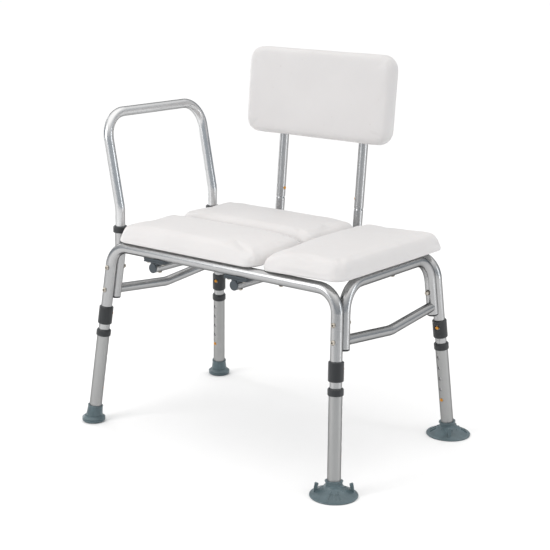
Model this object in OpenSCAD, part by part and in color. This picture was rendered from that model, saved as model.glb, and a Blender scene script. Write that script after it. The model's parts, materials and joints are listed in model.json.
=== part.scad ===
// Bath transfer bench: an aluminium tube frame on four height-adjustable legs, with
// padded seat and back cushions and one armrest. Two legs stand on rubber tips outside
// the tub and two on suction cups inside it. The origin is on the floor, at the centre
// of the space that the bench takes up. +X runs along the seat away from the armrest,
// +Y points to the back rest and +Z points up.

/* [Frame] */
// Height of the seat rails' centrelines above the floor
rail_z = 424; // [400:1:440]
// Distance from the middle of the seat to a leg's axis at rail height, along X
rail_x = 316; // [300:1:330]
// Distance from the middle of the seat to a long rail's axis, along Y
rail_y = 190; // [180:1:200]
// Angle that the legs splay out to the sides
splay_side = 4.4; // [3:0.1:6]
// Angle that the legs splay out to the front and back
splay_end = 5.6; // [4:0.1:7]
// Outer diameter of the frame tubes
frame_d = 25.4; // [25:0.1:26]
// Outer diameter of the braces, back tubes and armrest
light_d = 22.2; // [22:0.1:22.4]
// Wall of all the tubes
wall = 1.5; // [1.4:0.1:1.6]
// Bend radius of the frame tubes' corners
corner_r = 50; // [42:1:55]
// Bend radius of the side tube's corners
side_corner_r = 60; // [50:1:64]
// Height of the side tube's rail above the long rails
side_rise = 6; // [0:0.5:6]
// Height of the lower ends of the side tubes and arm sockets
side_end_z = 300; // [294:1:304]
// Height of the upper frame bolts beside the armrest
left_bolt_z = 372; // [360:1:376]
// Height of the upper frame bolts at the other end
right_bolt_z = 355; // [345:1:364]
// Height of the lower frame bolts, which also hold the braces
low_bolt_z = 319.5; // [317:0.5:325]

/* [Legs] */
// Height of the top of the plastic sleeves over the leg joints
sleeve_top_z = 280; // [276:1:284]
// Length of a leg joint sleeve
sleeve_len = 42; // [38:1:46]
// Outer diameter of a leg joint sleeve
sleeve_d = 33; // [31:0.5:35]
// Outer diameter of the outer leg tubes
leg_d = 28.6; // [28.4:0.1:28.8]
// Height of the top of the outer leg tubes and their collars
collar_top_z = 225; // [221:1:229]
// Length of a leg collar
collar_len = 16; // [14:1:20]
// Outer diameter of a leg collar
collar_d = 34; // [32:0.5:36]
// Height of the rear legs' highest adjustment hole
rear_hole_z = 192; // [188:1:196]
// Height of the front legs' highest adjustment hole
front_hole_z = 186; // [184:1:192]
// Distance between adjustment holes
hole_pitch = 26; // [24:0.1:26]
// Number of adjustment holes
hole_count = 5; // [3:1:5]
// Direction that the rear legs' holes face, anticlockwise seen from above from -Y
rear_hole_angle = -8; // [-30:1:30]
// Direction that the front legs' holes face, anticlockwise seen from above from -Y
front_hole_angle = 129; // [90:1:180]
// Outer diameter of a rubber tip's foot
tip_d = 54; // [50:1:60]
// Outer diameter of a suction cup
cup_d = 102; // [92:1:106]

/* [Seat] */
// Height of the undersides of the seat boards
board_z = 437.2; // [437:0.1:438]
// Height of the cushions' crowns
seat_top_z = 480; // [470:1:485]
// Left edge of the two long cushions, by the armrest
seat_left = -297; // [-297:1:-290]
// Where the long cushions end and the end cushion begins
seat_split = 108; // [80:1:130]
// Right edge of the end cushion
seat_right = 336; // [320:1:340]
// Distance from the middle of the seat to its front and back edges
seat_half_depth = 207; // [200:1:214]
// Corner radius of the cushions
seat_corner_r = 34; // [25:1:40]

/* [Back rest] */
// Place along X of the left back tube
left_back_x = -186; // [-200:1:-170]
// Place along X of the right back tube
right_back_x = 50; // [40:1:60]
// Height of the back tubes' level stretches
back_tube_z = 391.5; // [391:0.1:392]
// Height of the joints between the back tubes and posts
shoulder_z = 486; // [482:0.5:495]
// Distance from the middle of the seat to the posts at the joints
post_y = 274; // [268:1:284]
// Angle that the back rest leans back
back_lean = 4.6; // [3:0.1:6]
// Width of the back pad
pad_w = 416; // [380:1:430]
// Height of the back pad
pad_h = 208; // [190:1:220]
// Thickness of the back pad
pad_t = 36; // [30:1:42]
// Height of the back pad's lower edge above the post joints
pad_lift = 163; // [155:0.5:180]

/* [Armrest] */
// Height of the top bar's centreline
arm_top_z = 722; // [700:1:740]
// Height where the armrest bends outwards
arm_bend_z = 508; // [500:1:515]
// Angle that the armrest leans outwards
arm_lean = 11.7; // [8:0.1:14]
// Bend radius of the armrest's corners
arm_corner_r = 60; // [50:1:70]
// Height of the top of the arm sockets
socket_top_z = 464; // [460:1:466]

/* [Hidden] */
$fn = 48;
HULL_FN = 24;              // facets on the children of a hull
TOUCH = 0.1;               // gap between fixed parts that rest on each other
FIT = 0.05;                // radial clearance of a sliding tube
BEND_LAP = 0.2;            // how far a straight reaches into a bend
BEND_SWELL = 0.3;          // how much fatter a bend is than its straights

silver = [0.78, 0.79, 0.80];
charcoal = [0.23, 0.24, 0.25];
slate = [0.25, 0.30, 0.33];
rubber_grey = [0.33, 0.39, 0.41];
pad_white = [0.92, 0.91, 0.90];
board_white = [0.85, 0.85, 0.84];
orange = [0.80, 0.48, 0.10];
zinc = [0.62, 0.62, 0.60];

// A leg's path: how far it moves out for each millimetre that it goes down
side_slope = tan(splay_side);
end_slope = tan(splay_end);
leg_stretch = sqrt(1 + pow(side_slope, 2) + pow(end_slope, 2));
in_plane_splay = atan(side_slope * cos(splay_end));
side_plane_splay = atan(end_slope * cos(splay_side));
function down(z) = -(rail_z - z) * leg_stretch;   // height to a place along a leg
function hole_at(end, i) = down(end < 0 ? front_hole_z : rear_hole_z) - i * hole_pitch;

// The side tubes stand beside the legs of the long tubes
side_offset = frame_d + 0.4;                      // clears the swell of both bends
side_rail_x = rail_x - side_slope * side_rise;
tube_gap = side_offset / cos(splay_end);
side_y = rail_y - tube_gap;

// The bench is placed so that its bounding box is centred on the origin
foot_x = rail_x + side_slope * rail_z;
foot_y = rail_y + end_slope * rail_z;
shift_x = -((foot_x + cup_d / 2) - (foot_x + tip_d / 2)) / 2;
back_x = [left_back_x, right_back_x];
screw_z = pad_lift + pad_h - 45;                  // upper back screws, above the post joints
back_reach = post_y + screw_z * sin(back_lean) + (light_d / 2 + 3.5) * cos(back_lean);
shift_y = -(back_reach - (foot_y + cup_d / 2)) / 2;

bolt_d = 6;
bolt_hole_d = 6.2;
screw_d = 5;
screw_hole_d = 5.2;
button_d = 8;
button_hole_d = 8.4;
inner_leg_end_z = 74;
frame_leg_end_z = 246;
leg_end_z = 10;
spigot_d = frame_d - 2 * wall - 2 * FIT;
outer_leg_bore = frame_d + 2 * FIT;
post_spigot_d = light_d - 2 * wall - 2 * FIT;
sleeve_button_z = 264;
sleeve_window_d = 12.5;
front_joint_angle = front_hole_angle + 14;
rear_joint_angle = rear_hole_angle + 14;
cap_h = 4;
board_h = 10.5;
socket_kink_z = 414;
socket_x = -(rail_x + side_slope * (rail_z - socket_kink_z));
socket_y = side_y + end_slope * (rail_z - socket_kink_z);
arm_insert_z = 419;
SOCKET_BEND_R = 40;
post_len = 344;
post_button_h = 26.5;
swage_h = 4.5;               // height of the narrowed lip on a back tube
ARM_BEND_R = 80;

// ---- Bent bars and tubes -------------------------------------------------

// The direction of a path's stretch i in the XZ plane, as an angle from +Z towards +X
function heading(pts, i) =
    atan2(pts[i + 1][0] - pts[i][0], pts[i + 1][1] - pts[i][1]);
function turn(pts, i) =
    let (a = heading(pts, i) - heading(pts, i - 1)) a > 180 ? a - 360 : a < -180 ? a + 360 : a;
// Length of straight that the bend at corner i uses up on each side
function trim(pts, i, bend_r) =
    (i == 0 || i == len(pts) - 1) ? 0 : bend_r * tan(abs(turn(pts, i)) / 2);
// The same path, longer by e at both ends
function stretched(pts, e) =
    let (n = len(pts), a = heading(pts, 0), b = heading(pts, n - 2))
    [for (i = [0 : n - 1])
        i == 0 ? pts[i] - e * [sin(a), cos(a)]
        : i == n - 1 ? pts[i] + e * [sin(b), cos(b)] : pts[i]];

// A bend of a bar that runs up +Z, towards +X or, for an angle below 0, towards -X. It is
// slightly fatter than the straights, as a bent tube is, and they reach a little way into it.
module bar_bend(angle, d, bend_r)
    mirror([angle < 0 ? 1 : 0, 0, 0]) translate([bend_r, 0, 0]) rotate([90, 0, 180])
        rotate_extrude(angle = abs(angle)) translate([bend_r, 0])
            rotate(angle < 0 ? 0 : 180) circle(d = d + BEND_SWELL);

// A round bar along a path of points [x, z], with its corners bent to bend_r
module bent_bar(pts, d, bend_r) {
    last = len(pts) - 2;
    for (i = [0 : last]) {
        start = trim(pts, i, bend_r);
        reach = norm(pts[i + 1] - pts[i]) - trim(pts, i + 1, bend_r);
        lap_below = i > 0 ? BEND_LAP : 0;
        lap_above = i < last ? BEND_LAP : 0;
        translate([pts[i][0], 0, pts[i][1]]) rotate([0, heading(pts, i), 0]) {
            translate([0, 0, start - lap_below])
                cylinder(d = d, h = reach - start + lap_below + lap_above);
            if (i < last) translate([0, 0, reach]) bar_bend(turn(pts, i + 1), d, bend_r);
        }
    }
}

module bent_tube(pts, d, bend_r) {
    difference() {
        bent_bar(pts, d, bend_r);
        bent_bar(stretched(pts, 1), d - 2 * wall, bend_r);
    }
}

// ---- Places on the bench ---------------------------------------------------

// Everything is drawn about the middle of the seat and then moved by bench()
module bench() translate([shift_x, shift_y, 0]) children();

// side is -1 at the armrest and 1 at the far end, end is -1 at the front and 1 at the back
module on_leg(side, end, inset = 0)
    translate([side * rail_x, end * (rail_y - inset), rail_z])
        rotate([end * splay_end, 0, 0]) rotate([0, -side * in_plane_splay, 0]) children();

module on_each_leg() for (side = [-1, 1], end = [-1, 1]) on_leg(side, end) children();

// A radial direction on a leg, as an angle from -Y about the leg's own axis
module facing(angle) rotate([0, 0, angle]) rotate([90, 0, 0]) children();

module back_frame(x) translate([x, post_y, shoulder_z]) rotate([-back_lean, 0, 0]) children();

module at_sockets() for (end = [-1, 1]) translate([socket_x, end * socket_y, 0]) children();

// ---- Frame -----------------------------------------------------------------

function bolt_heights(side) = [side < 0 ? left_bolt_z : right_bolt_z, low_bolt_z];

// Cylinders along the frame bolts' axes at one leg, from the head's seat inwards
module bolt_lines(side, end, d, h)
    for (z = bolt_heights(side)) on_leg(side, end)
        translate([0, end * (frame_d / 2 + 6), down(z)]) rotate([end * 90, 0, 0]) cylinder(d = d, h = h);

module all_bolt_holes()
    for (side = [-1, 1], end = [-1, 1]) bolt_lines(side, end, bolt_hole_d, 80);

long_screw_dx = 22;
long_screw_y = rail_y - 2;
short_screw_x = 172;
short_screw_y = 17;

// Vertical lines through the screws that hold the seat down
module long_screw_places()
    for (x = back_x, dx = [-long_screw_dx, long_screw_dx], end = [-1, 1])
        translate([x + dx, end * long_screw_y, 0]) children();

module end_screw_places()
    for (end = [-1, 1]) translate([short_screw_x, end * rail_y, 0]) children();
module side_screw_place() translate([side_rail_x, short_screw_y, 0]) children();
module short_screw_places() {
    end_screw_places() children();
    side_screw_place() children();
}

module screw_holes() {
    long_screw_places() translate([0, 0, back_tube_z]) cylinder(d = screw_hole_d, h = 60);
    short_screw_places() translate([0, 0, back_tube_z]) cylinder(d = screw_hole_d, h = 60);
}

module long_frame_tube(end) {
    leg = -down(frame_leg_end_z);
    run = sin(in_plane_splay) * leg;
    drop = cos(in_plane_splay) * leg;
    hole_angle = end < 0 ? front_joint_angle : rear_joint_angle;
    difference() {
        translate([0, end * rail_y, rail_z]) rotate([end * splay_end, 0, 0])
            bent_tube([[-rail_x - run, -drop], [-rail_x, 0], [rail_x, 0], [rail_x + run, -drop]],
                frame_d, corner_r);
        all_bolt_holes();
        screw_holes();
        for (side = [-1, 1]) on_leg(side, end) translate([0, 0, down(sleeve_button_z)])
            facing(hole_angle) cylinder(d = button_hole_d, h = 20);
    }
}

module front_frame_tube() bench() color(silver) long_frame_tube(-1);
module rear_frame_tube() bench() color(silver) long_frame_tube(1);

// The plane of a side tube and its brace leans out with the legs. A place in it is [y, z],
// and dist is measured down a side tube's leg from the height of the long rails.
module in_side_plane(side)
    translate([side * rail_x, 0, rail_z]) rotate([0, -side * splay_side, 0]) rotate([0, 0, 90]) children();
function on_side_leg(dist) =
    [side_y + sin(side_plane_splay) * dist, -cos(side_plane_splay) * dist];

module right_side_tube() bench() color(silver) {
    corner = on_side_leg(-side_rise * leg_stretch);
    foot = on_side_leg(-down(side_end_z));
    difference() {
        in_side_plane(1)
            bent_tube([[-foot[0], foot[1]], [-corner[0], corner[1]], corner, foot], frame_d, side_corner_r);
        all_bolt_holes();
        screw_holes();
    }
}

// A socket stands upright at the top and leans with the leg beside it lower down
module arm_socket(end) {
    lean = sqrt(pow(side_slope, 2) + pow(end_slope, 2));
    drop = socket_kink_z - side_end_z;
    difference() {
        translate([socket_x, end * socket_y, 0]) rotate([0, 0, atan2(end * end_slope, -side_slope)])
            bent_tube([[0, socket_top_z], [0, socket_kink_z], [lean * drop, side_end_z]],
                frame_d, SOCKET_BEND_R);
        all_bolt_holes();
    }
}

module front_arm_socket() bench() color(silver) arm_socket(-1);
module rear_arm_socket() bench() color(silver) arm_socket(1);

// A brace leaves the side tubes square to them, so it dips to a shallow V in the middle
brace_drop = (rail_z - low_bolt_z + side_offset * sin(splay_end)) * leg_stretch;
brace_end = on_side_leg(brace_drop);
brace_mid_z = brace_end[1] - brace_end[0] * tan(side_plane_splay);

module brace(side) {
    difference() {
        in_side_plane(side)
            bent_tube([[-brace_end[0], brace_end[1]], [0, brace_mid_z], brace_end], light_d, 80);
        for (end = [-1, 1]) on_leg(side, end, tube_gap)
            mirror([0, 0, 1]) cylinder(d = frame_d + TOUCH, h = 200);
    }
}

module left_brace() bench() color(silver) brace(-1);
module right_brace() bench() color(silver) brace(1);

// Threaded plugs in the braces' ends, which the lower bolts screw into
module brace_end_plugs() bench() color(charcoal)
    for (side = [-1, 1], end = [-1, 1]) on_leg(side, end)
        translate([0, -end * side_offset, down(low_bolt_z)]) rotate([end * 90, 0, 0]) difference() {
            translate([0, 0, frame_d / 2 + 2]) cylinder(d = light_d - 2 * wall - 1.8, h = 12);
            cylinder(d = bolt_d + TOUCH, h = 60);
        }

module end_cap() {
    translate([0, 0, -cap_h]) rotate_extrude()
        polygon([[0, 0], [frame_d / 2 - 1.5, 0], [frame_d / 2, 1.5], [frame_d / 2, cap_h], [0, cap_h]]);
    cylinder(d = frame_d - 2 * wall - 0.2, h = 10);
}

module tube_end_caps() bench() color(charcoal)
    for (side = [-1, 1], end = [-1, 1]) on_leg(side, end, tube_gap)
        translate([0, 0, down(side_end_z) - TOUCH / 2]) end_cap();

module button_head(d, h) {
    difference() {
        rotate_extrude() polygon([[0, 0], [d / 2, 0], [d / 2, h * 0.35], [d * 0.32, h], [0, h]]);
        translate([0, 0, h - 2]) cylinder(d = d * 0.42, h = 3, $fn = 6);
    }
}

// Button-head bolts along Y; the upper ones end in acorn nuts, the lower ones in the braces
module frame_bolts() bench() color(zinc)
    for (side = [-1, 1], end = [-1, 1], z = bolt_heights(side))
        on_leg(side, end) translate([0, end * (frame_d / 2), down(z)]) rotate([end * 90, 0, 0]) {
            cylinder(d = bolt_d, h = side_offset + frame_d + (z == low_bolt_z ? 12 : 5));
            mirror([0, 0, 1]) button_head(11, 4);
        }

module acorn_nut() difference() {
    union() {
        cylinder(d = 12, h = 1.2);
        translate([0, 0, 1.2]) cylinder(d = 11, h = 4.5, $fn = 6);
        translate([0, 0, 5.7]) intersection() {
            sphere(d = 9);
            cylinder(d = 9, h = 5);
        }
    }
    translate([0, 0, -1]) cylinder(d = bolt_d, h = 6.5);
}

module acorn_nuts() bench() color(zinc)
    for (side = [-1, 1], end = [-1, 1]) on_leg(side, end)
        translate([0, -end * (side_offset + frame_d / 2 + TOUCH), down(bolt_heights(side)[0])])
            rotate([end * 90, 0, 0]) acorn_nut();

// ---- Back tubes under the seat ----------------------------------------------

plug_h = 3.5;
back_tube_front = rail_y + 6;
spigot_len = 60;

module back_tube(x) {
    lean_y = post_y - (shoulder_z - back_tube_z) * tan(back_lean);
    difference() {
        union() {
            translate([x, 0, 0]) rotate([0, 0, 90])
                bent_bar([[-back_tube_front, back_tube_z], [lean_y, back_tube_z], [post_y, shoulder_z]],
                    light_d, 60);
            back_frame(x) translate([0, 0, -1])
                cylinder(d1 = light_d - 1, d2 = post_spigot_d, h = swage_h + 1);
            back_frame(x) cylinder(d = post_spigot_d, h = spigot_len);
        }
        translate([x, 0, 0]) rotate([0, 0, 90])
            bent_bar([[-back_tube_front - 1, back_tube_z], [lean_y, back_tube_z],
                [post_y - 4 * tan(back_lean), shoulder_z - 4]], light_d - 2 * wall, 60);
        back_frame(x) translate([0, 0, -20]) cylinder(d = post_spigot_d - 2 * wall, h = spigot_len + 30);
        saddle_bolt_places() cylinder(d = bolt_hole_d, h = 60);
        back_frame(x) translate([0, 0, post_button_h]) rotate([0, x < 0 ? 90 : -90, 0])
            cylinder(d = button_hole_d, h = 20);
    }
}

module left_back_tube() bench() color(silver) back_tube(back_x[0]);
module right_back_tube() bench() color(silver) back_tube(back_x[1]);

module back_tube_plugs() bench() color(slate)
    for (x = back_x) translate([x, -back_tube_front - TOUCH / 2, back_tube_z]) rotate([90, 0, 0]) {
        rotate_extrude() polygon([[0, 0], [light_d / 2, 0], [light_d / 2, plug_h - 1],
            [light_d / 2 - 1, plug_h], [0, plug_h]]);
        mirror([0, 0, 1]) cylinder(d = light_d - 2 * wall - 0.2, h = 10);
    }

// Bars that carry the back tubes under the rails, cradled above and below
saddle_len = 60;
saddle_front = rail_y + 5;
saddle_back = rail_y - 23;
saddle_z = back_tube_z + light_d / 2 + 0.4;
saddle_bolt_y = rail_y - 16;
lug_w = 18;

module saddle_bolt_places() for (x = back_x, end = [-1, 1])
    translate([x, end * saddle_bolt_y, back_tube_z - light_d / 2 - 6]) children();

module saddle() {
    depth = saddle_front - saddle_back;
    translate([-saddle_len / 2, saddle_back, saddle_z]) cube([saddle_len, depth, 12]);
    translate([-lug_w / 2, saddle_back, saddle_z - 6]) cube([lug_w, depth, 7]);
}

module tube_saddles() bench() color(slate) difference() {
    for (x = back_x, end = [-1, 1]) translate([x, 0, 0]) mirror([0, end < 0 ? 1 : 0, 0]) difference() {
        saddle();
        translate([-50, saddle_front - 1.5, saddle_z + 3]) cube([100, 4, 2.4]);
    }
    for (end = [-1, 1]) translate([-300, end * rail_y, rail_z]) rotate([0, 90, 0])
        cylinder(d = frame_d + 2 * TOUCH, h = 600);
    for (x = back_x) translate([x, -240, back_tube_z]) rotate([-90, 0, 0])
        cylinder(d = light_d + 2 * TOUCH, h = 480);
    screw_holes();
    saddle_bolt_places() cylinder(d = bolt_d, h = 60);
}

module saddle_bolts() bench() color(zinc)
    saddle_bolt_places() {
        translate([0, 0, 5.9]) cylinder(d = bolt_d, h = light_d + 9);
        translate([0, 0, 5.9]) mirror([0, 0, 1]) button_head(10, 3.5);
    }

// ---- Seat --------------------------------------------------------------------

// Each cushion's edges as [left, front, right, back]
split_gap = 1.5;
front_edges = [seat_left, -seat_half_depth, seat_split - split_gap, -split_gap];
rear_edges = [seat_left, split_gap, seat_split - split_gap, seat_half_depth];
end_edges = [seat_split + split_gap, -seat_half_depth, seat_right, seat_half_depth];

module rounded_plate(edges, inset, z, h, r)
    translate([0, 0, z]) hull()
        for (x = [edges[0] + inset + r, edges[2] - inset - r])
            for (y = [edges[1] + inset + r, edges[3] - inset - r])
                translate([x, y, 0]) cylinder(r = r, h = h, $fn = HULL_FN);

board_inset = 9;

// The end cushion tilts up until its board lies on the side rail, above the long rails
end_reach = [side_rail_x - end_edges[0], board_z - rail_z - side_rise];
end_lift = (frame_d + BEND_SWELL) / 2 + TOUCH;
end_tilt = max(0, asin(end_lift / norm(end_reach)) - atan2(end_reach[1], end_reach[0]));

module tilt_end() translate([end_edges[0], 0, board_z]) rotate([0, -end_tilt, 0])
    translate([-end_edges[0], 0, -board_z]) children();

// A crowned cushion with flared sides, hollowed below for its board
module seat_pad(edges) difference() {
    hull() {
        rounded_plate(edges, 2, board_z + 0.6, 1, seat_corner_r - 2);
        rounded_plate(edges, 0, board_z + 3, 6, seat_corner_r);
        rounded_plate(edges, 6, seat_top_z - 14, 4, seat_corner_r - 6);
        rounded_plate(edges, 24, seat_top_z - 3, 3, seat_corner_r - 12);
    }
    rounded_plate(edges, board_inset - 0.3, board_z - 1, board_h + 1.3, seat_corner_r - board_inset);
}

module seat_board(edges)
    rounded_plate(edges, board_inset, board_z, board_h, seat_corner_r - board_inset);

module drilled() difference() {
    children();
    long_screw_places() cylinder(d = screw_d, h = seat_top_z);
    short_screw_places() cylinder(d = screw_d, h = seat_top_z);
}

module front_seat_pad() bench() color(pad_white) seat_pad(front_edges);
module rear_seat_pad() bench() color(pad_white) seat_pad(rear_edges);
module end_seat_pad() bench() color(pad_white) tilt_end() seat_pad(end_edges);
module front_seat_board() bench() color(board_white) drilled() seat_board(front_edges);
module rear_seat_board() bench() color(board_white) drilled() seat_board(rear_edges);
module end_seat_board() bench() color(board_white) drilled() tilt_end() seat_board(end_edges);

module seat_screw(head_z) {
    translate([0, 0, head_z]) cylinder(d = screw_d - TOUCH, h = board_z + board_h - 0.5 - head_z);
    translate([0, 0, head_z]) mirror([0, 0, 1]) button_head(9.5, 3);
}

module long_seat_screws() bench() color(zinc) long_screw_places() seat_screw(saddle_z - TOUCH);
module short_seat_screws() bench() color(zinc) {
    end_screw_places() seat_screw(rail_z - frame_d / 2 - TOUCH);
    side_screw_place() seat_screw(rail_z + side_rise - frame_d / 2 - TOUCH);
}

// ---- Back rest ---------------------------------------------------------------

module back_post(x) back_frame(x) difference() {
    translate([0, 0, swage_h]) cylinder(d = light_d, h = post_len - swage_h);
    cylinder(d = light_d - 2 * wall, h = post_len + 2);
    translate([0, 0, post_button_h]) rotate([0, x < 0 ? 90 : -90, 0]) cylinder(d = button_hole_d, h = 20);
    back_screw_lines() cylinder(d = screw_hole_d, h = 40, center = true);
}

// The screws that hold the back pad run along Y through each post
module back_screw_lines()
    for (z = [screw_z - 114, screw_z]) translate([0, 0, z]) rotate([90, 0, 0]) children();

module left_back_post() bench() color(silver) back_post(back_x[0]);
module right_back_post() bench() color(silver) back_post(back_x[1]);

module back_post_caps() bench() color(charcoal)
    for (x = back_x) back_frame(x) translate([0, 0, post_len + TOUCH / 2]) {
        rotate_extrude() polygon([[0, 0], [light_d / 2, 0], [light_d / 2, 2],
            [light_d / 2 - 1.5, 3.5], [0, 3.5]]);
        mirror([0, 0, 1]) cylinder(d = light_d - 2 * wall - 0.2, h = 9);
    }

pad_x = (back_x[0] + back_x[1]) / 2 - 1;
pad_back = -light_d / 2 - 0.3;
back_board_h = 5;

// A plate on edge behind the seat, y from front to back in the back rest's own frame
module back_plate(inset, front, back, r)
    hull() for (x = [-1, 1] * (pad_w / 2 - inset - r))
        for (z = [pad_lift + inset + r, pad_lift + pad_h - inset - r])
            translate([x, back, z]) rotate([90, 0, 0]) cylinder(r = r, h = back - front, $fn = 32);

module back_pad() bench() color(pad_white) back_frame(pad_x) difference() {
    hull() {
        back_plate(0, pad_back - pad_t + 9, pad_back - 4, 36);
        back_plate(3, pad_back - pad_t + 9, pad_back, 33);
        back_plate(9, pad_back - pad_t, pad_back - 4, 27);
    }
    back_plate(9.7, pad_back - back_board_h - 0.3, pad_back + 1, 26.3);
}

module back_board() bench() color(board_white) difference() {
    back_frame(pad_x) back_plate(10, pad_back - back_board_h, pad_back, 26);
    for (x = back_x) back_frame(x) back_screw_lines() cylinder(d = screw_d, h = 60, center = true);
}

module back_screws() bench() color(zinc)
    for (x = back_x) back_frame(x) back_screw_lines() {
        translate([0, 0, -light_d / 2 - TOUCH]) {
            cylinder(d = screw_d, h = light_d + back_board_h - 1);
            mirror([0, 0, 1]) button_head(9.5, 3);
        }
    }

// ---- Armrest -----------------------------------------------------------------

socket_collar_d = 34;
socket_collar_h = 15;

// Plastic collars on the socket mouths, each with an inner lip that guides the armrest
module arm_socket_collars() bench() color(charcoal) at_sockets()
    translate([0, 0, socket_top_z - socket_collar_h + 2]) difference() {
        rotate_extrude() polygon([[0, 0], [socket_collar_d / 2 - 1.5, 0], [socket_collar_d / 2, 1.5],
            [socket_collar_d / 2, socket_collar_h - 2], [socket_collar_d / 2 - 2, socket_collar_h],
            [0, socket_collar_h]]);
        translate([0, 0, -1]) cylinder(d = frame_d + 0.1, h = socket_collar_h - 0.95);
        cylinder(d = light_d + 2 * FIT, h = 40);
    }

module armrest_bar(d, extra) {
    lower = arm_bend_z - arm_insert_z;
    bend_start = ARM_BEND_R * tan(arm_lean / 2);
    height = (arm_top_z - arm_bend_z) / cos(arm_lean);
    for (end = [-1, 1]) translate([0, end * socket_y, 0]) {
        translate([0, 0, -lower - extra]) cylinder(d = d, h = lower + extra - bend_start + BEND_LAP);
        translate([0, 0, -bend_start]) bar_bend(-arm_lean, d, ARM_BEND_R);
    }
    upper = bend_start - BEND_LAP;
    rotate([0, -arm_lean, 0]) rotate([0, 0, 90])
        bent_bar([[-socket_y, upper], [-socket_y, height], [socket_y, height], [socket_y, upper]],
            d, arm_corner_r);
}

module armrest_tube() bench() color(silver) translate([socket_x, 0, arm_bend_z]) difference() {
    armrest_bar(light_d, 0);
    armrest_bar(light_d - 2 * wall, 1);
}

// ---- Spring buttons ------------------------------------------------------------

// A button with its leaf spring, inside a tube: flush is the radius of the tube's outside,
// bore the radius of its inside, and the button points along +Z
module spring_button(flush, bore) color(orange) {
    intersection() {
        translate([0, 0, bore - 1.6]) cylinder(d = button_d, h = 20);
        rotate([90, 0, 0]) cylinder(r = flush, h = 80, center = true);
    }
    intersection() {
        translate([-3, -28, bore - 3.4]) cube([6, 34, 1]);
        rotate([90, 0, 0]) cylinder(r = bore - 0.6, h = 80, center = true);
    }
    translate([0, 0, bore - 2.5]) cylinder(d = 6, h = 2);
    translate([-3, -30, bore - 7.4]) cube([6, 2.5, 5]);
}

module left_back_button() bench() back_frame(back_x[0]) translate([0, 0, post_button_h])
    rotate([90, 0, 90]) spring_button(post_spigot_d / 2 - 0.1, post_spigot_d / 2 - wall);
module right_back_button() bench() back_frame(back_x[1]) translate([0, 0, post_button_h])
    rotate([90, 0, -90]) spring_button(post_spigot_d / 2 - 0.1, post_spigot_d / 2 - wall);

module joint_button(side, end) bench() on_leg(side, end) translate([0, 0, down(sleeve_button_z)])
    facing(end < 0 ? front_joint_angle : rear_joint_angle)
        spring_button(sleeve_d / 2 - 0.5, spigot_d / 2 - wall);

module height_button(side, end) bench() on_leg(side, end) translate([0, 0, hole_at(end, hole_count - 1)])
    facing(end < 0 ? front_hole_angle : rear_hole_angle) mirror([0, 1, 0])
        spring_button(frame_d / 2 - 0.1, frame_d / 2 - wall);

module front_left_joint_button() joint_button(-1, -1);
module front_right_joint_button() joint_button(1, -1);
module rear_left_joint_button() joint_button(-1, 1);
module rear_right_joint_button() joint_button(1, 1);
module front_left_height_button() height_button(-1, -1);
module front_right_height_button() height_button(1, -1);
module rear_left_height_button() height_button(-1, 1);
module rear_right_height_button() height_button(1, 1);

// ---- Legs ----------------------------------------------------------------------

// Plastic sleeves that cover the joints between the frame and the inner legs
module leg_joint_sleeves() bench() color(charcoal)
    for (side = [-1, 1], end = [-1, 1])
        on_leg(side, end) translate([0, 0, down(sleeve_top_z)]) difference() {
            translate([0, 0, -sleeve_len]) rotate_extrude()
                polygon([[0, 0], [sleeve_d / 2 - 1.5, 0], [sleeve_d / 2, 2],
                    [sleeve_d / 2, sleeve_len - 1.5], [sleeve_d / 2 - 1.5, sleeve_len], [0, sleeve_len]]);
            translate([0, 0, -sleeve_len - 1]) cylinder(d = frame_d + TOUCH, h = sleeve_len + 2);
            translate([0, 0, down(sleeve_button_z) - down(sleeve_top_z)])
                facing(end < 0 ? front_joint_angle : rear_joint_angle)
                    cylinder(d = sleeve_window_d, h = 20);
        }

// The inner leg's narrowed top is a spigot inside the frame tube
module inner_leg(side, end) bench() color(silver) on_leg(side, end) {
    shoulder = down(frame_leg_end_z) - TOUCH;
    foot = down(inner_leg_end_z);
    difference() {
        union() {
            translate([0, 0, foot]) cylinder(d = frame_d, h = shoulder - foot);
            translate([0, 0, shoulder - 1]) cylinder(d = spigot_d, h = 48);
        }
        translate([0, 0, foot - 1]) cylinder(d = frame_d - 2 * wall, h = shoulder - foot - 3);
        translate([0, 0, foot - 1]) cylinder(d = spigot_d - 2 * wall, h = shoulder - foot + 60);
        translate([0, 0, down(sleeve_button_z)])
            facing(end < 0 ? front_joint_angle : rear_joint_angle) cylinder(d = button_hole_d, h = 20);
        translate([0, 0, hole_at(end, hole_count - 1)])
            facing(end < 0 ? front_hole_angle : rear_hole_angle) cylinder(d = button_hole_d, h = 20);
    }
}

module front_left_inner_leg() inner_leg(-1, -1);
module front_right_inner_leg() inner_leg(1, -1);
module rear_left_inner_leg() inner_leg(-1, 1);
module rear_right_inner_leg() inner_leg(1, 1);

module outer_leg(side, end) bench() color(silver) on_leg(side, end) difference() {
    translate([0, 0, down(leg_end_z)]) cylinder(d = leg_d, h = down(collar_top_z) - 2 - down(leg_end_z));
    translate([0, 0, down(0)]) cylinder(d = outer_leg_bore, h = -down(0));
    for (i = [0 : hole_count - 1])
        translate([0, 0, hole_at(end, i)])
            facing(end < 0 ? front_hole_angle : rear_hole_angle) cylinder(d = button_hole_d, h = 20);
}

module front_left_outer_leg() outer_leg(-1, -1);
module front_right_outer_leg() outer_leg(1, -1);
module rear_left_outer_leg() outer_leg(-1, 1);
module rear_right_outer_leg() outer_leg(1, 1);

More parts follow.
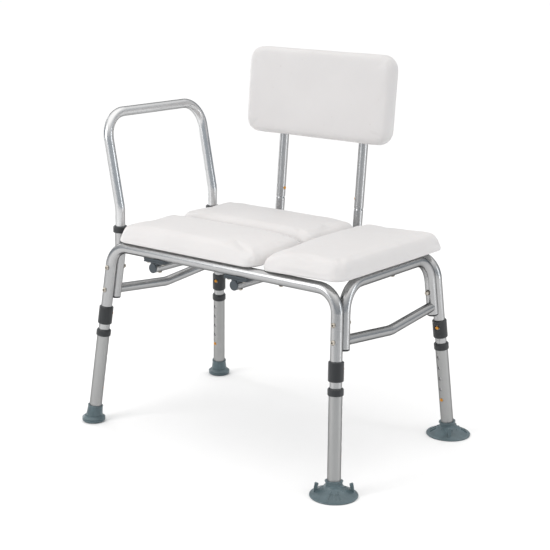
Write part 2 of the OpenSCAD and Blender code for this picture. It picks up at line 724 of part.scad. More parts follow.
module leg_collar(side, end) bench() color(charcoal) on_leg(side, end)
    translate([0, 0, down(collar_top_z)]) difference() {
        translate([0, 0, -collar_len]) rotate_extrude()
            polygon([[0, 0], [collar_d / 2 - 1.5, 0], [collar_d / 2, 2], [collar_d / 2, collar_len - 2.5],
                [collar_d / 2 - 2, collar_len], [0, collar_len]]);
        translate([0, 0, -collar_len - 1]) cylinder(d = leg_d + 0.05, h = collar_len - 0.95);
        translate([0, 0, -collar_len - 1]) cylinder(d = outer_leg_bore, h = collar_len + 2);
    }

module front_left_leg_collar() leg_collar(-1, -1);
module front_right_leg_collar() leg_collar(1, -1);
module rear_left_leg_collar() leg_collar(-1, 1);
module rear_right_leg_collar() leg_collar(1, 1);

// ---- Feet ----------------------------------------------------------------------

module leg_pocket(side, end) on_leg(side, end)
    translate([0, 0, down(leg_end_z)]) cylinder(d = leg_d + 0.05, h = 80);

// A foot stands flat on the floor and its neck leans with the leg
module rubber_tip(side, end) bench() color(rubber_grey) difference() {
    union() {
        translate([side * foot_x, end * foot_y, 0]) rotate_extrude()
            polygon([[0, 0], [tip_d / 2 - 3, 0], [tip_d / 2, 3], [tip_d / 2, 5.5], [tip_d / 2 - 1.2, 6.5],
                [tip_d / 2, 7.5], [tip_d / 2, 10], [tip_d / 2 - 5, 14], [0, 14]]);
        on_leg(side, end) translate([0, 0, down(12)]) cylinder(d1 = 39, d2 = 34, h = 26);
        on_leg(side, end) translate([0, 0, down(36.5)]) cylinder(d = 35.5, h = 2.5);
    }
    leg_pocket(side, end);
}

module front_left_rubber_tip() rubber_tip(-1, -1);
module rear_left_rubber_tip() rubber_tip(-1, 1);

bump_count = 12;
neck_d = 36;
flare_r = 10;              // radius of the hollow curve between a cup's neck and its dome
flare_z = 27;
dome_slope = 31;

// A suction cup's outline from its hollow underside over the rim and dome to the neck
cup_outline = concat(
    [[0, 7], [24, 7], [cup_d / 2 - 5, 0], [cup_d / 2 - 1, 0], [cup_d / 2, 1],
        [cup_d / 2, 2.6], [cup_d / 2 - 0.8, 3.4], [cup_d / 2 - 4, 4]],
    [for (a = [270 - dome_slope : -12 : 180])
        [neck_d / 2 + flare_r * (1 + cos(a)), flare_z + flare_r * sin(a)]],
    [[0, flare_z]]);

// A pull tab stands up near the rim, with a hook towards the neck
module pull_tab() rotate([90, 0, 0]) linear_extrude(height = 6, center = true)
    polygon([[27.5, 8], [42, 5], [41.5, 18], [40, 27], [38, 28.5], [32, 26], [32.5, 23],
        [34.5, 21.5], [33, 19], [35, 17], [33.5, 15], [29.5, 13]]);

// A fan of two shallow pockets in the dome, with a rib between them
module fan_pockets() for (start = [-19, 3]) rotate([0, 0, start])
    rotate_extrude(angle = 16) polygon([[29, 12.8], [43, 4.6], [43, 14], [29, 22]]);

module suction_cup(side, end, tab_angle) bench() color(rubber_grey) difference() {
    union() {
        translate([side * foot_x, end * foot_y, 0]) {
            difference() {
                rotate_extrude() polygon(cup_outline);
                for (a = [90, 270]) rotate([0, 0, tab_angle + a]) fan_pockets();
            }
            for (a = [0, 180]) rotate([0, 0, tab_angle + a]) pull_tab();
            for (i = [0 : bump_count - 1]) rotate([0, 0, tab_angle + (i + 0.5) * 360 / bump_count])
                translate([24.5, 0, 16.5]) sphere(d = 5);
        }
        on_leg(side, end) translate([0, 0, down(20)]) cylinder(d = neck_d, h = 11);
        on_leg(side, end) translate([0, 0, down(30)]) cylinder(d = neck_d + 2.5, h = 2);
    }
    leg_pocket(side, end);
}

module front_right_suction_cup() suction_cup(1, -1, 37);
module rear_right_suction_cup() suction_cup(1, 1, 125);

// ---- Output --------------------------------------------------------------------

front_frame_tube();
rear_frame_tube();
right_side_tube();
front_arm_socket();
rear_arm_socket();
left_brace();
right_brace();
brace_end_plugs();
tube_end_caps();
frame_bolts();
acorn_nuts();
left_back_tube();
right_back_tube();
back_tube_plugs();
tube_saddles();
saddle_bolts();
long_seat_screws();
short_seat_screws();
front_seat_pad();
rear_seat_pad();
end_seat_pad();
front_seat_board();
rear_seat_board();
end_seat_board();
arm_socket_collars();
armrest_tube();
left_back_post();
right_back_post();
back_post_caps();
back_pad();
back_board();
back_screws();
left_back_button();
right_back_button();
leg_joint_sleeves();
front_left_inner_leg();
front_right_inner_leg();
rear_left_inner_leg();
rear_right_inner_leg();
front_left_joint_button();
front_right_joint_button();
rear_left_joint_button();
rear_right_joint_button();
front_left_height_button();
front_right_height_button();
rear_left_height_button();
rear_right_height_button();
front_left_outer_leg();
front_right_outer_leg();
rear_left_outer_leg();
rear_right_outer_leg();
front_left_leg_collar();
front_right_leg_collar();
rear_left_leg_collar();
rear_right_leg_collar();
front_left_rubber_tip();
rear_left_rubber_tip();
front_right_suction_cup();
rear_right_suction_cup();
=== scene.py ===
"""The bath transfer bench: cushions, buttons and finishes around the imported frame."""
import json
import math

import bmesh
import bpy
from mathutils import Matrix, Vector, noise


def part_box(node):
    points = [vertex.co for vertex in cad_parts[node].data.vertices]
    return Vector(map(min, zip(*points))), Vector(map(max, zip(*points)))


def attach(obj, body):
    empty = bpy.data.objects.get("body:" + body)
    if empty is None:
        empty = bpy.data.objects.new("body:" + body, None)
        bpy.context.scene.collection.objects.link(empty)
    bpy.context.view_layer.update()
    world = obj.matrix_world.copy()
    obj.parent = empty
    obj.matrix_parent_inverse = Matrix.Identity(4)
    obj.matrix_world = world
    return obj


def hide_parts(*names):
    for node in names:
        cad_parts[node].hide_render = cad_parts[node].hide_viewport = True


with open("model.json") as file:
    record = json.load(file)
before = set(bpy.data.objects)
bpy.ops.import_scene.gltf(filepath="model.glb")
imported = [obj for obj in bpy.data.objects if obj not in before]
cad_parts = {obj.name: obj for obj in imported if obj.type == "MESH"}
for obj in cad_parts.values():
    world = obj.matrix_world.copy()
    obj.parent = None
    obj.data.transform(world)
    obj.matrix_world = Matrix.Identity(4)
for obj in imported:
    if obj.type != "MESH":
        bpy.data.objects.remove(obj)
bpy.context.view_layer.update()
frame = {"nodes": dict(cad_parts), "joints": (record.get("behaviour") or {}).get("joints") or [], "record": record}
MM = 0.001

# ---- Shader helpers ----------------------------------------------------------


class Shader:
    """A node material with short calls for the nodes that the finishes share."""

    def __init__(self, name, color, rough, **sockets):
        self.material = bpy.data.materials.new(name)
        self.material.use_nodes = True
        self.tree = self.material.node_tree
        self.bsdf = self.tree.nodes["Principled BSDF"]
        self.bsdf.inputs["Base Color"].default_value = (*color, 1)
        self.bsdf.inputs["Roughness"].default_value = rough
        for socket, value in sockets.items():
            self.bsdf.inputs[socket.replace("_", " ")].default_value = value
        self.coords = self.tree.nodes.new("ShaderNodeTexCoord").outputs["Object"]

    def node(self, kind, **settings):
        made = self.tree.nodes.new("ShaderNode" + kind)
        for key, value in settings.items():
            if hasattr(made, key):
                setattr(made, key, value)
            else:
                made.inputs[key.replace("_", " ").title()].default_value = value
        return made

    def link(self, output, socket):
        self.tree.links.new(output, socket)

    def noise(self, scale, detail=4.0, rough=0.5, stretch=None):
        made = self.node("TexNoise", scale=scale, detail=detail, roughness=rough)
        source = self.coords
        if stretch:
            mapping = self.node("Mapping")
            mapping.inputs["Scale"].default_value = stretch
            self.link(source, mapping.inputs["Vector"])
            source = mapping.outputs["Vector"]
        self.link(source, made.inputs["Vector"])
        return made.outputs["Fac"]

    def ramp(self, source, low, high, first, last):
        made = self.node("ValToRGB")
        made.color_ramp.elements[0].position = low
        made.color_ramp.elements[0].color = (*first, 1)
        made.color_ramp.elements[1].position = high
        made.color_ramp.elements[1].color = (*last, 1)
        self.link(source, made.inputs["Fac"])
        return made.outputs["Color"]

    def mix(self, factor, first, second):
        made = self.node("Mix", data_type="RGBA")
        self.link(factor, made.inputs[0])
        for value, index in ((first, 6), (second, 7)):
            if isinstance(value, tuple):
                made.inputs[index].default_value = (*value, 1)
            else:
                self.link(value, made.inputs[index])
        return made.outputs[2]

    def span(self, source, low, high):
        """The factor source, spread from low to high."""
        made = self.node("MapRange")
        made.inputs["To Min"].default_value = low
        made.inputs["To Max"].default_value = high
        self.link(source, made.inputs["Value"])
        return made.outputs["Result"]

    def edges(self, radius):
        """1 along sharp edges and 0 on the flats, from how far a bevel turns the normal."""
        bevel = self.node("Bevel", samples=4)
        bevel.inputs["Radius"].default_value = radius
        geometry = self.node("NewGeometry")
        dot = self.node("VectorMath", operation="DOT_PRODUCT")
        self.link(bevel.outputs["Normal"], dot.inputs[0])
        self.link(geometry.outputs["Normal"], dot.inputs[1])
        found = self.node("MapRange")
        found.inputs["From Min"].default_value = 1.0
        found.inputs["From Max"].default_value = 0.85
        self.link(dot.outputs["Value"], found.inputs["Value"])
        return found.outputs["Result"]

    def bump(self, height, strength, distance, below=None):
        made = self.node("Bump")
        made.inputs["Strength"].default_value = strength
        made.inputs["Distance"].default_value = distance
        self.link(height, made.inputs["Height"])
        if below is not None:
            self.link(below, made.inputs["Normal"])
        return made.outputs["Normal"]

    def rounded(self, radius):
        bevel = self.node("Bevel", samples=4)
        bevel.inputs["Radius"].default_value = radius
        return bevel.outputs["Normal"]

    def hollows(self, distance):
        """Ambient occlusion for painting shade into recesses: 0 deep in small recesses and 1 in the open."""
        made = self.node("AmbientOcclusion", samples=8)
        made.inputs["Distance"].default_value = distance
        return made.outputs["AO"]

    def set(self, socket, output):
        self.link(output, self.bsdf.inputs[socket])


def shade(low, scale):
    """A colour a little lighter or darker than another."""
    return tuple(min(1.0, c * scale) for c in low)


def anodised_tube(name, base, rough):
    """Satin anodised aluminium: fine drawn grain, faint cloudiness and light handling marks."""
    s = Shader(name, base, rough, Metallic=1.0)
    s.bsdf.inputs["Specular Tint"].default_value = (0.14, 0.14, 0.14, 1)
    cloud = s.noise(9.0, 3.0)
    s.set("Base Color", s.ramp(cloud, 0.3, 0.7, shade(base, 0.97), shade(base, 1.03)))
    grain = s.noise(900.0, 2.0)
    smudge = s.noise(28.0, 5.0, 0.65)
    s.set("Roughness", s.span(smudge, rough - 0.03, rough + 0.03))
    s.set("Normal", s.bump(grain, 0.06, 0.0002, s.rounded(0.0004)))
    return s.material


def vinyl_skin():
    """Off-white vinyl over foam: a fine pebble, a soft sheen and slight warmth in the hollows."""
    base = (0.62, 0.605, 0.60)
    s = Shader("white_vinyl", base, 0.46, Specular_IOR_Level=0.35)
    s.bsdf.inputs["Subsurface Weight"].default_value = 0.12
    s.bsdf.inputs["Subsurface Radius"].default_value = (0.006, 0.005, 0.0045)
    cloud = s.noise(7.0, 4.0, 0.55)
    tint = s.ramp(cloud, 0.32, 0.72, shade(base, 0.975), shade(base, 1.02))
    speck = s.noise(95.0, 2.0, 0.4)
    mask = s.ramp(speck, 0.735, 0.76, (0.0, 0.0, 0.0), (0.35, 0.35, 0.35))
    s.set("Base Color", s.mix(mask, tint, (0.52, 0.49, 0.46)))
    pebble = s.node("TexVoronoi", feature="DISTANCE_TO_EDGE")
    pebble.inputs["Scale"].default_value = 620.0
    s.link(s.coords, pebble.inputs["Vector"])
    s.set("Roughness", s.span(s.noise(40.0, 3.0), 0.40, 0.54))
    soft = s.bump(s.noise(22.0, 2.0), 0.12, 0.003)
    s.set("Normal", s.bump(pebble.outputs["Distance"], 0.05, 0.0003, soft))
    return s.material


def moulded_plastic(name, base, rough, worn, cloudy=0.15):
    """Moulded plastic with a spark-eroded texture, a softened edge and paler worn edges."""
    s = Shader(name, base, rough)
    cloud = s.noise(30.0, 4.0)
    tint = s.ramp(cloud, 0.3, 0.7, shade(base, 1 - cloudy), shade(base, 1 + cloudy))
    s.set("Base Color", s.mix(s.edges(0.0007), tint, worn))
    s.set("Roughness", s.span(s.noise(60.0, 3.0), rough - 0.08, rough + 0.1))
    s.set("Normal", s.bump(s.noise(1400.0, 2.0), 0.12, 0.0002, s.rounded(0.0005)))
    return s.material


def grey_rubber():
    """Blue-grey rubber with a matt bloom, dusty creases and a slight gloss where it is rubbed."""
    base = (0.070, 0.105, 0.118)
    s = Shader("grey_rubber", base, 0.55)
    cloud = s.noise(45.0, 5.0, 0.6)
    tint = s.ramp(cloud, 0.3, 0.75, shade(base, 0.8), shade(base, 1.3))
    s.set("Base Color", s.mix(s.edges(0.0012), tint, (0.16, 0.21, 0.225)))
    s.set("Roughness", s.span(s.noise(80.0, 3.0), 0.30, 0.46))
    s.set("Normal", s.bump(s.noise(700.0, 3.0), 0.15, 0.0003, s.rounded(0.0008)))
    return s.material


def button_brass():
    """Orange-gold snap buttons with a finely mottled tone."""
    base = (0.62, 0.27, 0.035)
    s = Shader("button_brass", base, 0.36, Metallic=0.55)
    s.set("Base Color", s.ramp(s.noise(260.0, 3.0), 0.3, 0.7, shade(base, 0.7), shade(base, 1.2)))
    s.set("Normal", s.bump(s.noise(900.0, 2.0), 0.1, 0.0002, s.rounded(0.0004)))
    return s.material


def zinc_bolt():
    """Zinc plated steel, a little yellow and cloudy, with painted shade: near black in the drive sockets' corners,
    where ambient occlusion finds a recess.
    """
    base = (0.50, 0.46, 0.40)
    s = Shader("zinc_bolt", base, 0.34, Metallic=1.0)
    plated = s.ramp(s.noise(160.0, 4.0), 0.3, 0.7, shade(base, 0.7), shade(base, 1.15))
    # painted shade: near black mixed into the base colour deep in the drive sockets, by ambient occlusion
    painted_socket_shade = s.ramp(s.hollows(0.003), 0.35, 0.9, (0.0, 0.0, 0.0), (1.0, 1.0, 1.0))
    s.set("Base Color", s.mix(painted_socket_shade, (0.015, 0.012, 0.010), plated))
    s.set("Roughness", s.span(s.noise(220.0, 3.0), 0.24, 0.46))
    s.set("Normal", s.bump(s.noise(1100.0, 2.0), 0.08, 0.0002, s.rounded(0.0003)))
    return s.material


def pale_floor():
    """A matt studio floor, almost evenly pale."""
    base = (0.86, 0.86, 0.86)
    s = Shader("pale_floor", base, 0.8, Specular_IOR_Level=0.1)
    darker, paler = (0.855, 0.855, 0.855), (0.865, 0.865, 0.865)
    s.set("Base Color", s.ramp(s.noise(1.5, 3.0), 0.3, 0.7, darker, paler))
    return s.material


MATERIALS = {
    "tube_silver": anodised_tube("anodised_aluminium", (0.42, 0.422, 0.425), 0.26),
    "pad_vinyl": vinyl_skin(),
    "charcoal_plastic": moulded_plastic("charcoal_plastic", (0.014, 0.016, 0.018), 0.42,
                                        (0.075, 0.08, 0.085)),
    "slate_plastic": moulded_plastic("slate_plastic", (0.034, 0.046, 0.056), 0.34,
                                     (0.10, 0.12, 0.135)),
    "white_plastic": moulded_plastic("white_plastic", (0.68, 0.68, 0.67), 0.42,
                                     (0.72, 0.72, 0.71), cloudy=0.015),
    "grey_rubber": grey_rubber(),
    "button_brass": button_brass(),
    "zinc_bolt": zinc_bolt(),
}

# Painted light and shade: the armrest's tube gets a lighter copy of the frame's aluminium as painted light, and
# the outer legs a darker, rougher copy as painted shade
PAINTED_LIGHT_TUBE = anodised_tube("aluminium_painted_light", (0.60, 0.605, 0.61), 0.24)
PAINTED_SHADE_TUBE = anodised_tube("matt_aluminium_painted_shade", (0.37, 0.372, 0.37), 0.36)


def finish_of(part):
    """The material of a CAD node: its slot's, apart from the tubes with painted light and painted shade."""
    # painted light on the armrest's tube, painted shade on the outer legs
    if part["node"] == "armrest_tube":
        return PAINTED_LIGHT_TUBE
    if part["node"].endswith("_outer_leg"):
        return PAINTED_SHADE_TUBE
    return MATERIALS[part["material_slot"]]


def paint_cad_nodes():
    for part in frame["record"]["subparts"]:
        mesh = frame["nodes"][part["node"]].data
        mesh.materials.clear()
        mesh.materials.append(finish_of(part))


# ---- Meshes --------------------------------------------------------------------


def smooth_object(name, bm):
    """A new object from a finished bmesh, with its faces outwards and shaded smooth."""
    bmesh.ops.recalc_face_normals(bm, faces=bm.faces)
    mesh = bpy.data.meshes.new(name)
    bm.to_mesh(mesh)
    bm.free()
    mesh.polygons.foreach_set("use_smooth", [True] * len(mesh.polygons))
    piece = bpy.data.objects.new(name, mesh)
    bpy.context.scene.collection.objects.link(piece)
    return piece


# ---- Cushions ------------------------------------------------------------------

GRID = 6.0 * MM              # size of a cushion's mesh cells
CORNER_MIN = 6.0 * MM
LIP_HEIGHT = 5.0 * MM        # the lip keeps its height where a cushion thins out
SHOULDER_POWER = 2.6         # 2 rounds a shoulder as an ellipse, and more makes it squarer


def corner_radius(corners, x, y):
    """A rounded rectangle's radius near a point: the second one at its front left corner."""
    return corners[1] if x < 0 and y < 0 else corners[0]


def edge_point(u, v, half, corners):
    """The point of a rounded rectangle's edge that belongs to (u, v) on a square's edge."""
    x, y = half[0] * u, half[1] * v
    corner = corner_radius(corners, x, y)
    cx, cy = half[0] - corner, half[1] - corner
    if abs(x) > cx and abs(y) > cy:
        out = Vector((abs(x) - cx, abs(y) - cy)).normalized() * corner
        x = math.copysign(cx + out.x, x)
        y = math.copysign(cy + out.y, y)
    return x, y


def edge_distance(x, y, half, corners):
    """How far inside a rounded rectangle a point is."""
    corner = corner_radius(corners, x, y)
    qx, qy = abs(x) - (half[0] - corner), abs(y) - (half[1] - corner)
    outside = math.hypot(max(qx, 0.0), max(qy, 0.0))
    return corner - outside - min(max(qx, qy), 0.0)


def square_edge(nx, ny):
    """(column, row) of a grid's outer points, once round."""
    south = [(i, 0) for i in range(nx)]
    east = [(nx, j) for j in range(ny)]
    north = [(i, ny) for i in range(nx, 0, -1)]
    west = [(0, j) for j in range(ny, 0, -1)]
    return south + east + north + west


def cushion_mesh(name, size, corners, wall, shoulder, crown, thin):
    """A crowned pad that stands on z 0: a flat underside, flared walls and a domed top.

    wall is the side's profile from the bottom up as (inset, height); shoulder is the
    (width, height) of the rounded top edge above it; crown is the extra height of the
    middle; thin(x, y) is the part of the thickness lost, with x and y from -1 to 1."""
    half = (size[0] / 2, size[1] / 2)
    nx, ny = (max(8, round(s / GRID)) for s in size)
    top_inset = wall[-1][0]
    top_z = wall[-1][1]
    bm = bmesh.new()

    def loop(inset, z):
        """Vertices once round the pad at one height."""
        sides = (half[0] - inset, half[1] - inset)
        bend = [max(corner - inset, CORNER_MIN) for corner in corners]
        made = []
        for i, j in ring:
            x, y = edge_point(2 * i / nx - 1, 2 * j / ny - 1, sides, bend)
            made.append(bm.verts.new((x, y, z)))
        return made

    def sheet(inset, height):
        """Points of the whole top or underside, keyed by column and row."""
        sides = (half[0] - inset, half[1] - inset)
        bend = [max(corner - inset, CORNER_MIN) for corner in corners]
        grid = {}
        for i in range(nx + 1):
            for j in range(ny + 1):
                u, v = 2 * i / nx - 1, 2 * j / ny - 1
                reach = max(abs(u), abs(v))
                x, y = (0.0, 0.0)
                if reach > 0:
                    x, y = (c * reach for c in edge_point(u / reach, v / reach, sides, bend))
                grid[i, j] = (x, y, height(x, y, edge_distance(x, y, sides, bend)))
        return grid

    def top_height(x, y, inside):
        across = min(1.0, inside / shoulder[0])
        rise = max(0.0, 1.0 - (1.0 - across) ** SHOULDER_POWER) ** (1 / SHOULDER_POWER)
        u, v = x / half[0], y / half[1]
        dome = (1 - u * u) * (1 - v * v)
        return top_z + shoulder[1] * rise + crown * dome

    ring = square_edge(nx, ny)
    on_edge = set(ring)
    loops = [loop(inset, z) for inset, z in wall[:-1]]
    top = sheet(top_inset, top_height)
    base = sheet(wall[0][0], lambda x, y, inside: wall[0][1])
    top_verts = {key: bm.verts.new(co) for key, co in top.items()}
    base_verts = {key: bm.verts.new(co) for key, co in base.items() if key not in on_edge}
    base_verts.update(zip(ring, loops[0]))
    loops.append([top_verts[key] for key in ring])
    for lower, upper in zip(loops, loops[1:]):
        for k in range(len(ring)):
            after = (k + 1) % len(ring)
            bm.faces.new((lower[k], lower[after], upper[after], upper[k]))
    for i in range(nx):
        for j in range(ny):
            keys = [(i, j), (i + 1, j), (i + 1, j + 1), (i, j + 1)]
            bm.faces.new([top_verts[key] for key in keys])
            bm.faces.new([base_verts[key] for key in reversed(keys)])
    for vert in bm.verts:
        above = max(0.0, vert.co.z - LIP_HEIGHT)
        vert.co.z -= above * thin(vert.co.x / half[0], vert.co.y / half[1])
    return smooth_object(name, bm)


SWELL_FRAMES = 20
SWELL_PRESSURE = 4.0
SKIN_STIFFNESS = 25.0
SKIN_BENDING = 2.0


def inflate(piece, hold_below, limit):
    """Lets air pressure swell the skin above hold_below by no more than limit."""
    rest = [v.co.copy() for v in piece.data.vertices]
    held = piece.vertex_groups.new(name="held")
    for v in piece.data.vertices:
        weight = 1.0 if v.co.z < hold_below else 0.0
        held.add([v.index], weight, "REPLACE")
    cloth = piece.modifiers.new("swell", "CLOTH")
    cloth.settings.vertex_group_mass = "held"
    cloth.settings.use_pressure = True
    cloth.settings.uniform_pressure_force = SWELL_PRESSURE
    cloth.settings.tension_stiffness = SKIN_STIFFNESS
    cloth.settings.compression_stiffness = SKIN_STIFFNESS
    cloth.settings.bending_stiffness = SKIN_BENDING
    cloth.settings.effector_weights.gravity = 0.0
    cloth.collision_settings.use_collision = False
    cloth.point_cache.frame_start = 1
    cloth.point_cache.frame_end = SWELL_FRAMES
    scene = bpy.context.scene
    for step in range(1, SWELL_FRAMES + 1):
        scene.frame_set(step)
    graph = bpy.context.evaluated_depsgraph_get()
    moved = [v.co.copy() for v in piece.evaluated_get(graph).data.vertices]
    piece.modifiers.remove(cloth)
    piece.vertex_groups.clear()
    scene.frame_set(1)
    for v, before, after in zip(piece.data.vertices, rest, moved):
        step = after - before
        if step.length > 0:
            # a soft cap: small moves stay, large ones close in on the limit
            step *= limit * math.tanh(step.length / limit) / step.length
        v.co = before + step


def ripple(piece, amount, size, seed):
    """Shallow unevenness, as foam has under its skin."""
    for v in piece.data.vertices:
        at = v.co / size + Vector((seed, seed * 0.7, 0.0))
        v.co += v.normal * (noise.noise(at) * amount)


def finish_soft(piece, body, node, place):
    """Smooths the piece, sets it in place and lets it stand for its CAD solid."""
    piece.data.transform(place)
    smooth = piece.modifiers.new("smooth", "SUBSURF")
    smooth.levels = 1
    smooth.render_levels = 1
    piece.data.materials.append(MATERIALS["pad_vinyl"])
    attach(piece, body)
    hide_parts(node)
    return piece


# The seat cushions' sides from the recess for the board, over the lip and up to the shoulder
SEAT_WALL = [(9.2, 11.0), (8.8, 2.0), (7.0, 1.4), (3.0, 1.4), (1.0, 2.2), (0.0, 4.4), (0.5, 7.0),
             (1.6, 10.0), (2.8, 14.5), (4.0, 19.0), (5.4, 23.5), (6.8, 27.0)]
BACK_WALL = [(9.9, 6.0), (9.4, 0.2), (6.0, 0.0), (4.6, 0.0), (2.4, 0.8), (0.8, 2.6), (0.1, 5.4),
             (0.0, 9.0), (0.0, 15.0), (0.0, 21.0), (0.6, 26.0)]


def scaled(profile):
    return [(inset * MM, z * MM) for inset, z in profile]


def ease(value):
    value = min(1.0, max(0.0, value))
    return value * value * (3 - 2 * value)


def board_tilt(node):
    """The slope of a cushion's board: how much taller its box is than the level boards'."""
    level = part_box("front_seat_board")
    low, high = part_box(node.replace("_pad", "_board"))
    rise = (high.z - low.z) - (level[1].z - level[0].z)
    return math.asin(rise / (high.x - low.x))


def seat_cushion(name, node, corners, shoulder, crown, thin, seed):
    """A seat cushion that lies on its board and fills the box of its CAD pad."""
    low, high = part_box(node)
    size = (high.x - low.x, high.y - low.y)
    tilt = board_tilt(node)
    piece = cushion_mesh(name, size, corners, scaled(SEAT_WALL), shoulder, crown, thin)
    inflate(piece, 12 * MM, 3.0 * MM)
    ripple(piece, 0.5 * MM, 70 * MM, seed)
    middle = (low + high) / 2
    middle.z = low.z + math.sin(tilt) * size[0] / 2
    place = Matrix.Translation(middle) @ Matrix.Rotation(-tilt, 4, "Y")
    return finish_soft(piece, "frame", node, place)


def front_thin(u, v):
    """The front cushion thins out towards the end cushion, most of all at its front corner."""
    return (0.24 - 0.14 * v) * ease((u - 0.42) / 0.58)


def rear_thin(u, v):
    """The rear cushion thins out towards the end cushion, most of all beside the front one."""
    return (0.10 - 0.06 * v) * ease((u - 0.5) / 0.5)


def end_thin(u, v):
    """The end cushion thins out towards its front left corner."""
    return 0.22 * ease((-u - 0.2) / 0.8) * ease(0.15 - 1.1 * v)


def even_thickness(u, v):
    return 0.0


# Plan radii of a cushion's corners: most of them, and the front left one
EVEN_CORNERS = (34 * MM, 34 * MM)
CUT_CORNER = (34 * MM, 54 * MM)
LONG_SHOULDER = (27 * MM, 12 * MM)
END_SHOULDER = (18 * MM, 11 * MM)


def add_seat_cushions():
    seat_cushion("front_seat_cushion", "front_seat_pad", EVEN_CORNERS, LONG_SHOULDER,
                 3.0 * MM, front_thin, 1.0)
    seat_cushion("rear_seat_cushion", "rear_seat_pad", EVEN_CORNERS, LONG_SHOULDER,
                 3.0 * MM, rear_thin, 2.0)
    seat_cushion("end_seat_cushion", "end_seat_pad", CUT_CORNER, END_SHOULDER,
                 4.0 * MM, end_thin, 3.0)


BACK_LEAN = math.radians(4.6)
BACK_HEIGHT = 210 * MM       # along the slope
BACK_THICK = 36 * MM
BACK_OVERHANG = 4 * MM       # how much wider the cushion is than its CAD pad
BACK_CORNERS = (37 * MM, 37 * MM)
BACK_SHOULDER = (15 * MM, 8 * MM)


def add_back_cushion():
    """The back cushion stands on edge: its mesh's z points forwards and its y up the back."""
    low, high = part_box("back_pad")
    width = high.x - low.x + BACK_OVERHANG
    piece = cushion_mesh("back_cushion", (width, BACK_HEIGHT), BACK_CORNERS, scaled(BACK_WALL),
                         BACK_SHOULDER, 1.5 * MM, even_thickness)
    inflate(piece, 14 * MM, 1.2 * MM)
    ripple(piece, 0.5 * MM, 80 * MM, 4.0)
    middle = (low + high) / 2
    # the pad's back face lies half a thickness behind the middle of its box
    turn = Matrix.Rotation(-BACK_LEAN, 4, "X") @ Matrix.Rotation(math.radians(90), 4, "X")
    place = Matrix.Translation(middle) @ turn @ Matrix.Translation((0, 0, -BACK_THICK / 2))
    return finish_soft(piece, "back_rest", "back_pad", place)


# ---- Snap buttons ---------------------------------------------------------------


def revolve(name, outline, steps=40):
    """A solid of revolution about z from (radius, height) pairs; it starts and ends on the axis."""
    bm = bmesh.new()
    rings = []
    for radius, z in outline:
        if radius < 1e-6:
            rings.append([bm.verts.new((0, 0, z))])
            continue
        angles = [2 * math.pi * k / steps for k in range(steps)]
        rings.append([bm.verts.new((radius * math.cos(a), radius * math.sin(a), z)) for a in angles])
    for lower, upper in zip(rings, rings[1:]):
        for k in range(steps):
            after = (k + 1) % steps
            if len(lower) == 1:
                bm.faces.new((lower[0], upper[after], upper[k]))
            elif len(upper) == 1:
                bm.faces.new((lower[k], lower[after], upper[0]))
            else:
                bm.faces.new((lower[k], lower[after], upper[after], upper[k]))
    return smooth_object(name, bm)


def joint_axis(name):
    """A press joint's axis, which points into the tube."""
    for joint in frame["joints"]:
        if joint["name"] == name:
            return Vector(joint["axis"]).normalized()
    raise ValueError(name)


BUTTON_R = 4.0 * MM
BUTTON_SUNK = 6.0 * MM       # how far the button's base lies inside the tube
BUTTON_DOME = 2.4 * MM       # height of the rounded end
DOME_STEPS = 8
# The front legs' height buttons have sunk almost flush
HEIGHT_BUTTONS_PROUD = (("front", 1.9 * MM), ("rear", 4.6 * MM))


def button(node, proud):
    """A domed snap button that stands proud of where its CAD pin ends."""
    outward = -joint_axis(node + "_press")
    mesh = frame["nodes"][node].data
    reach = max(v.co.dot(outward) for v in mesh.vertices)
    tip = [v.co for v in mesh.vertices if v.co.dot(outward) > reach - 0.2 * MM]
    middle = sum(tip, Vector()) / len(tip)
    rim = proud - BUTTON_DOME
    dome = [(0.0, -BUTTON_SUNK), (BUTTON_R, -BUTTON_SUNK), (BUTTON_R, rim)]
    for k in range(1, DOME_STEPS):
        a = math.radians(90) * k / DOME_STEPS
        dome.append((BUTTON_R * math.cos(a), rim + BUTTON_DOME * math.sin(a)))
    dome.append((0.0, proud))
    piece = revolve(node + "_dome", dome)
    turn = outward.to_track_quat("Z", "Y").to_matrix().to_4x4()
    piece.data.transform(Matrix.Translation(middle) @ turn)
    piece.data.materials.append(MATERIALS["button_brass"])
    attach(piece, node + "_body")
    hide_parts(node)


def add_buttons():
    for end, proud in HEIGHT_BUTTONS_PROUD:
        for side in ("left", "right"):
            button(f"{end}_{side}_height_button", proud)
            button(f"{end}_{side}_joint_button", 1.6 * MM)
    for side in ("left", "right"):
        button(side + "_back_button", 4.4 * MM)


# ---- Studio ----------------------------------------------------------------------


def add_floor():
    bpy.ops.mesh.primitive_plane_add(size=60.0, location=(0, 0, -0.0002))
    floor = bpy.context.object
    floor.name = "floor"
    floor.data.materials.append(pale_floor())


def area_light(name, place, aim, size, power, color=(1, 1, 1)):
    """A rectangular light that the camera doesn't see."""
    data = bpy.data.lights.new(name, "AREA")
    data.shape = "RECTANGLE"
    data.size, data.size_y = size
    data.energy = power
    data.color = color
    light = bpy.data.objects.new(name, data)
    light.location = place
    light.visible_camera = False
    light.rotation_euler = (Vector(aim) - Vector(place)).to_track_quat("-Z", "Y").to_euler()
    bpy.context.scene.collection.objects.link(light)


# The sky's brightness and colour by the sine of the height above the horizon
SKY_STRENGTH = 0.98
SKY = [(0.0, (0.30, 0.36, 0.42)), (0.3, (0.6, 0.62, 0.64)), (0.6, (1.0, 1.0, 1.0)),
       (0.85, (1.7, 1.68, 1.66))]
BACKDROP = (1.1, 1.1, 1.1, 1.0)


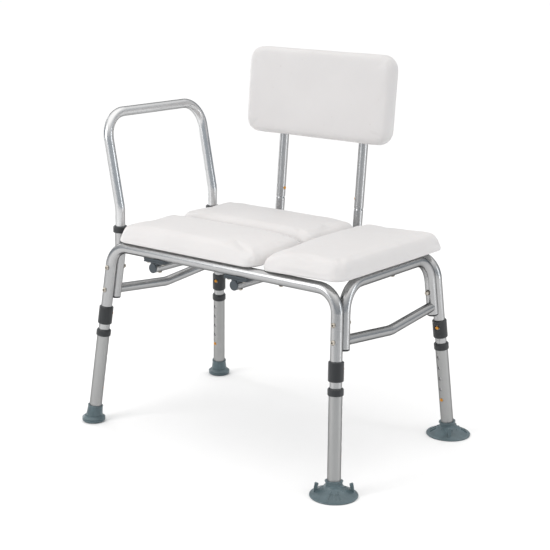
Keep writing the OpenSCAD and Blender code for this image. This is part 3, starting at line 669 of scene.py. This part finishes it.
def add_lights():
    """A sky that is brighter overhead, a large soft key at the front and a strip at each side."""
    world = bpy.data.worlds.new("studio")
    world.use_nodes = True
    nodes = world.node_tree.nodes
    links = world.node_tree.links
    sky = nodes["Background"]
    sky.inputs["Strength"].default_value = SKY_STRENGTH
    height = nodes.new("ShaderNodeSeparateXYZ")
    links.new(nodes.new("ShaderNodeTexCoord").outputs["Generated"], height.inputs["Vector"])
    bands = nodes.new("ShaderNodeValToRGB")
    stops = bands.color_ramp.elements
    while len(stops) < len(SKY):
        stops.new(1.0)
    for stop, (position, color) in zip(stops, SKY):
        stop.position = position
        stop.color = (*color, 1)
    links.new(height.outputs["Z"], bands.inputs["Fac"])
    # past the floor's edge the backdrop itself shows as plain white
    seen = nodes.new("ShaderNodeMix")
    seen.data_type = "RGBA"
    links.new(nodes.new("ShaderNodeLightPath").outputs["Is Camera Ray"], seen.inputs[0])
    links.new(bands.outputs["Color"], seen.inputs[6])
    seen.inputs[7].default_value = BACKDROP
    links.new(seen.outputs[2], sky.inputs["Color"])
    bpy.context.scene.world = world
    middle = (0.0, 0.0, 0.4)
    area_light("key", (-1.1, -2.4, 1.55), middle, (1.2, 1.8), 27.0, (1.0, 0.985, 0.98))
    area_light("left", (-2.4, 0.3, 0.8), middle, (0.3, 1.6), 8.0)
    area_light("right", (2.5, 0.9, 0.8), middle, (0.4, 1.6), 9.0, (0.96, 0.98, 1.0))


# The camera's direction from the bench, its roll and its distance
CAM_AZIMUTH = math.radians(37.441)
CAM_ELEVATION = math.radians(14.162)
CAM_ROLL = math.radians(0.835)
CAM_DISTANCE = 3.1709
CAM_TARGET_FROM_SEAT = Vector((-0.04828, 0.07594, 0.34658))
CAM_LENS = 88.0


def seat_middle():
    """The point of the floor under the middle of the two long frame tubes."""
    front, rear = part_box("front_frame_tube"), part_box("rear_frame_tube")
    return Vector(((front[0].x + front[1].x) / 2, (front[0].y + rear[1].y) / 2, 0.0))


def add_camera():
    """A long lens from the front right, a little above the seat, rolled by under a degree."""
    a, e = CAM_AZIMUTH, CAM_ELEVATION
    back = Vector((math.sin(a) * math.cos(e), -math.cos(a) * math.cos(e), math.sin(e)))
    right = Vector((math.cos(a), math.sin(a), 0.0))
    up = back.cross(right)
    tilt_right = math.cos(CAM_ROLL) * right + math.sin(CAM_ROLL) * up
    tilt_up = -math.sin(CAM_ROLL) * right + math.cos(CAM_ROLL) * up
    place = seat_middle() + CAM_TARGET_FROM_SEAT + back * CAM_DISTANCE
    data = bpy.data.cameras.new("camera")
    data.sensor_width = 36.0
    data.lens = CAM_LENS
    camera = bpy.data.objects.new("camera", data)
    turn = Matrix((tilt_right, tilt_up, back)).transposed()
    camera.matrix_world = Matrix.Translation(place) @ turn.to_4x4()
    bpy.context.scene.collection.objects.link(camera)
    bpy.context.scene.camera = camera


bpy.context.scene.view_settings.view_transform = "Standard"
add_camera()
add_floor()
add_lights()
paint_cad_nodes()
add_seat_cushions()
add_back_cushion()
add_buttons()
